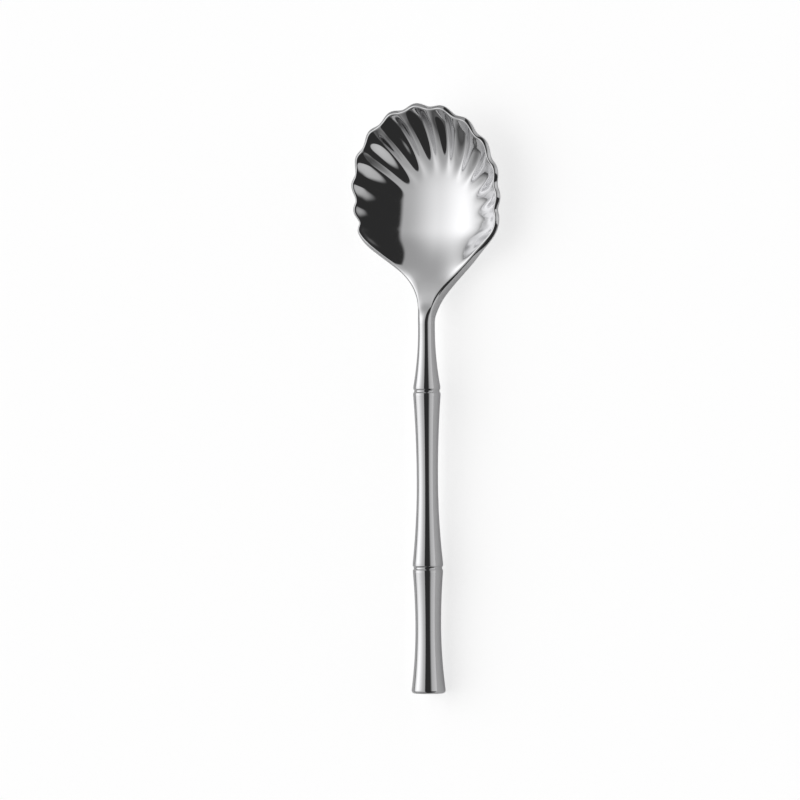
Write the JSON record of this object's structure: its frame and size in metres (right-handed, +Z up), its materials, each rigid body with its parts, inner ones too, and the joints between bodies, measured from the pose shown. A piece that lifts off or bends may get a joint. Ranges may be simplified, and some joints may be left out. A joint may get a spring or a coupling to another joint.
{
  "type": "stirring spoon",
  "caption": "Small polished steel stirring spoon: a fluted scallop-shell bowl on a slim necked, solid bamboo-cane handle with ring grooves at its nodes",
  "frame": {"origin": "On the table under the middle of the spoon's box, as it lies on the underside of its bowl and the edge of its handle end", "axes": "+X across the bowl to the right as seen from the handle, +Y from handle end to bowl tip, +Z up out of the bowl's opening"},
  "size_m": [0.037, 0.128, 0.0101],
  "materials": {
    "bowl_steel": "pressed stainless steel, mirror polished",
    "weld_steel": "stainless steel weld metal, ground flush and polished",
    "handle_steel": "turned stainless steel bar, mirror polished"
  },
  "bodies": {
    "root": {"bowl": "bowl_steel", "weld_bead": "weld_steel", "handle": "handle_steel"}
  },
  "joints": []
}
